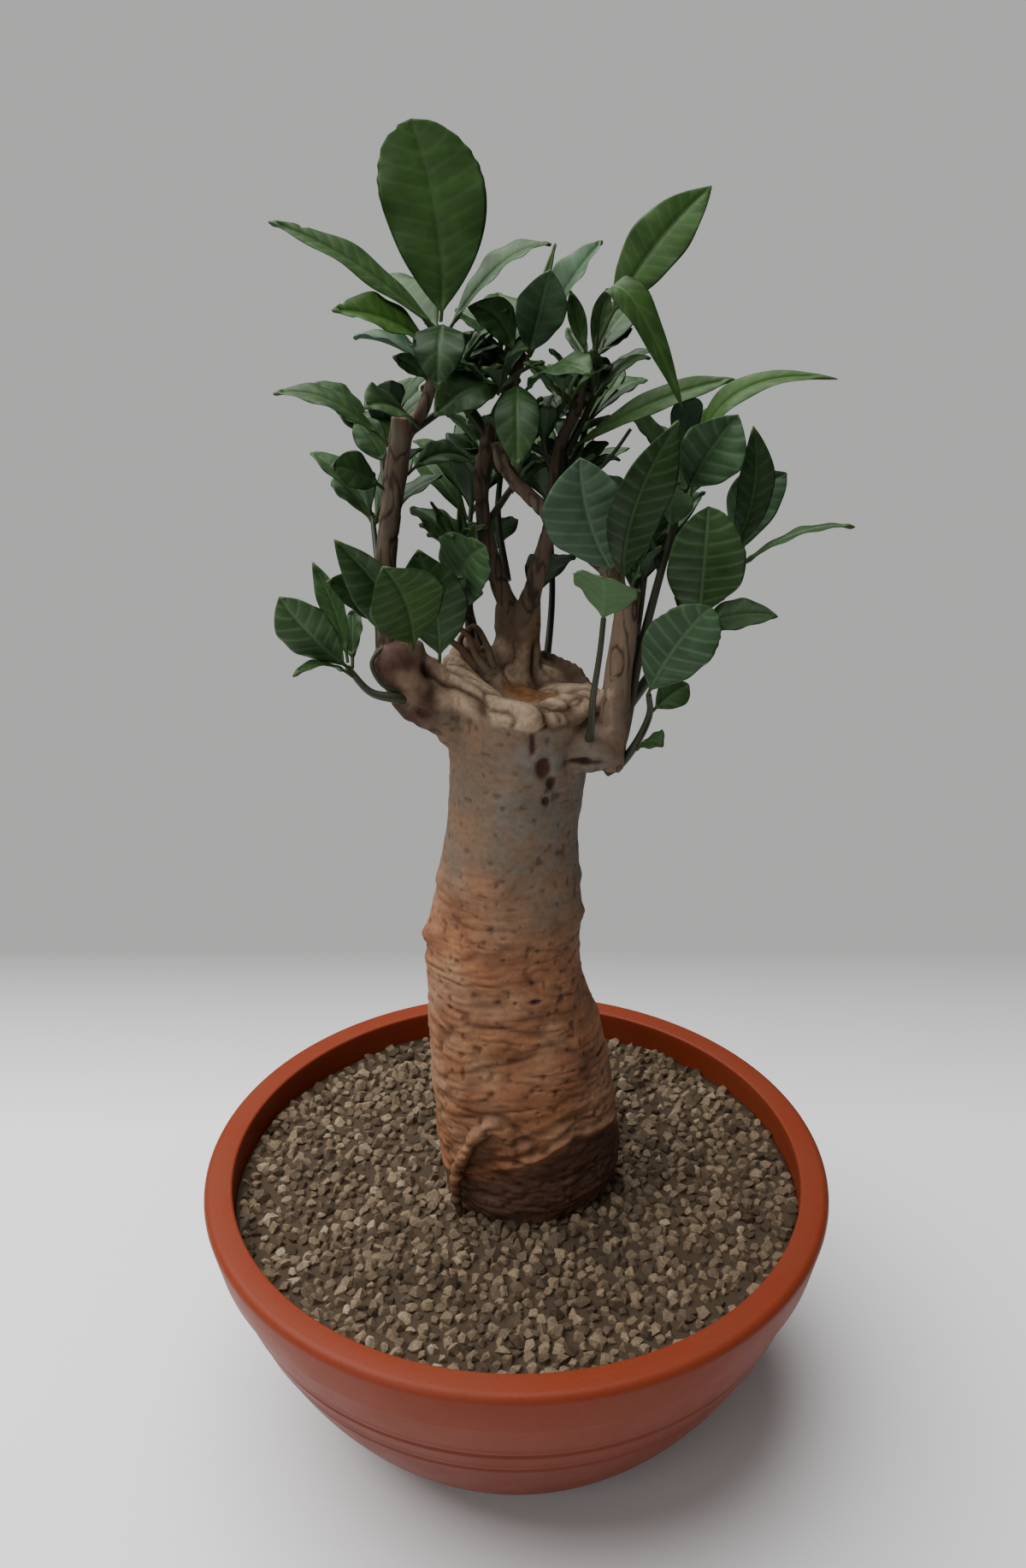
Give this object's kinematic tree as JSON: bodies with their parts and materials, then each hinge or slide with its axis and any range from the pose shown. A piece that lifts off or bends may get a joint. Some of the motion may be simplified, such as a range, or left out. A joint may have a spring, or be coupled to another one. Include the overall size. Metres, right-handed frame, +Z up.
{
  "type": "potted baobab",
  "caption": "Thick cut-back caudex trunk with woody limbs and glossy leaves, standing in gravel in a round shallow planting bowl.",
  "frame": {"origin": "centre of the bowl's foot, on the surface that it stands on", "axes": "+Z up along the bowl's axis and the trunk; -Y is the plant's front, where the front shoot and the low leaves face; +X to the right seen from the front"},
  "size_m": [0.3, 0.3, 0.586],
  "materials": {
    "bowl": "moulded, terracotta-coloured, satin",
    "gravel": "loose crushed grit, matt",
    "bark": "living bark, wrinkled, matt",
    "limb_bark": "ribbed bark, matt",
    "green_stem": "young green stem, satin",
    "leaf": "waxy leaf blade, semi-gloss"
  },
  "bodies": {
    "root": {"bowl": "bowl", "gravel": "gravel", "trunk": "bark", "left_limb": "limb_bark", "centre_limb": "limb_bark", "right_limb": "limb_bark", "back_shoot": "green_stem", "right_shoot": "green_stem", "outer_shoot": "green_stem", "front_shoot": "green_stem", "lower_shoot": "green_stem", "left_shoot": "green_stem", "leaf_tall": "leaf", "leaf_top_left": "leaf", "leaf_top_right": "leaf", "leaf_bright": "leaf", "leaf_grey_edge": "leaf", "leaf_dark_hanging": "leaf", "leaf_spoon": "leaf", "leaf_middle_left": "leaf", "leaf_blue_right": "leaf", "leaf_right_tall": "leaf", "leaf_right_drooping": "leaf", "leaf_narrow_left": "leaf", "leaf_narrow_right": "leaf", "leaf_inner_left": "leaf", "leaf_inner_arch": "leaf", "leaf_inner_hanging": "leaf", "leaf_inner_low_left": "leaf", "leaf_inner_back": "leaf", "leaf_limb_left": "leaf", "leaf_limb_dark": "leaf", "leaf_limb_small": "leaf", "leaf_limb_half": "leaf", "leaf_limb_inner": "leaf", "leaf_stub_tall": "leaf", "leaf_stub_front": "leaf", "leaf_stub_side": "leaf", "leaf_veined_left": "leaf", "leaf_upright_left": "leaf", "leaf_edge_left": "leaf", "leaf_twig_inner": "leaf", "leaf_crenate": "leaf", "leaf_deep_green": "leaf", "leaf_front_bright": "leaf", "leaf_broad_veined": "leaf", "leaf_broad_dark": "leaf", "leaf_folded_blue": "leaf", "leaf_long_bright": "leaf", "leaf_long_arch": "leaf", "leaf_small_bright": "leaf", "leaf_dark_veined": "leaf", "leaf_large_folded": "leaf", "leaf_outer_dark": "leaf", "leaf_outer_blue": "leaf", "leaf_outer_arch": "leaf", "leaf_low_veined": "leaf", "leaf_low_dark": "leaf", "leaf_low_pointed": "leaf", "leaf_low_small": "leaf"}
  },
  "joints": []
}
